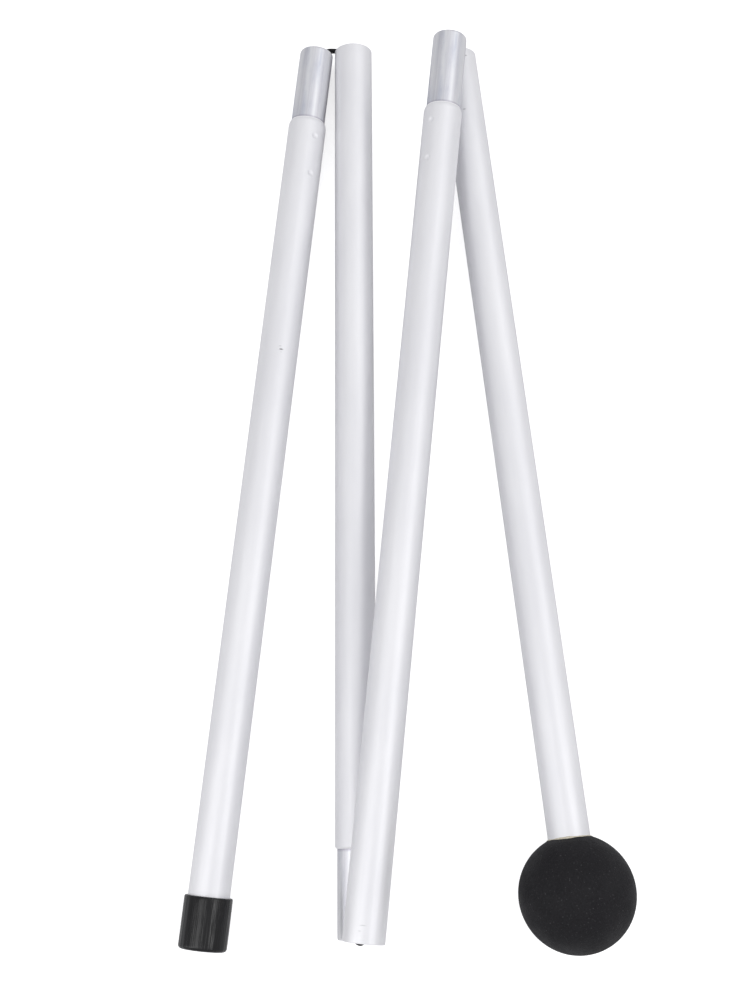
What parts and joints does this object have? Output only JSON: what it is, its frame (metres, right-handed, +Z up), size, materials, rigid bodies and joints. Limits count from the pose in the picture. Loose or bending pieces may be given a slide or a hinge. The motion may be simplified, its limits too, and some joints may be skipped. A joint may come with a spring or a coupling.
{
  "type": "folding shock-corded pole",
  "caption": "Folding pole of plug-together aluminium tube sections on an elastic cord, with a push-on end cap and a ball tip, lying folded in a zigzag.",
  "frame": {"origin": "on the table, under the middle of the folded bundle's bounding box", "axes": "+Z up from the table, +Y along the folded bundle towards the mouths of sections 2 and 4, +X towards the ball's side"},
  "size_m": [0.2346, 0.5208, 0.06],
  "materials": {
    "tube": "satin silver anodised",
    "ferrule": "bright drawn, lightly scuffed",
    "cap": "glossy black vinyl",
    "ball": "matt, fine grain",
    "plug": "matt natural nylon",
    "washer": "zinc plated",
    "cord": "braided cover on rubber"
  },
  "bodies": {
    "section_1": {"section_1_tube": "tube", "ferrule_1": "ferrule", "end_cap": "cap", "cord_anchor_plug": "plug", "cap_washer": "washer", "cap_knot": "cord", "cord_run_1": "cord"},
    "fold_1": {"cord_fold_1": "cord"},
    "section_2": {"section_2_tube": "tube", "ferrule_2": "ferrule", "cord_run_2": "cord"},
    "fold_2": {"cord_fold_2": "cord"},
    "section_3": {"section_3_tube": "tube", "ferrule_3": "ferrule", "cord_run_3": "cord"},
    "fold_3": {"cord_fold_3": "cord"},
    "section_4": {"section_4_tube": "tube", "ball": "ball", "ball_plug": "plug", "ball_washer": "washer", "ball_knot": "cord", "cord_run_4": "cord"}
  },
  "joints": [
    {"name": "fold_1_swing", "type": "hinge", "parent": "section_2", "child": "fold_1", "pos_m": [-0.0395, 0.25509, 0.01092], "axis": [0.0074, -0.0023, -1], "range_deg": [-5, 173.59], "deforming": ["cord_fold_1"]},
    {"name": "fold_1_plug", "type": "slide", "parent": "fold_1", "child": "section_1", "axis": [0.1052, 0.9944, -0.0038], "range_m": [0, 0.0472], "deforming": ["cord_run_1", "cord_run_2"]},
    {"name": "fold_2_swing", "type": "hinge", "parent": "section_2", "child": "fold_2", "pos_m": [-0.02333, -0.2555, 0.02136], "axis": [0.9824, -0.0448, -0.1816], "range_deg": [0, 178.95], "deforming": ["cord_fold_2"]},
    {"name": "fold_2_plug", "type": "slide", "parent": "fold_2", "child": "section_3", "axis": [-0.0973, -0.9953, 0.0005], "range_m": [0, 0.0487], "deforming": ["cord_run_3"]},
    {"name": "fold_3_swing", "type": "hinge", "parent": "section_3", "child": "fold_3", "pos_m": [0.03101, 0.25396, 0.02126], "axis": [0.9722, 0.0112, 0.2338], "range_deg": [0, 179.36], "deforming": ["cord_fold_3"]},
    {"name": "fold_3_plug", "type": "slide", "parent": "fold_3", "child": "section_4", "axis": [-0.1107, 0.9931, -0.0391], "range_m": [0, 0.0487], "deforming": ["cord_run_4"]}
  ]
}
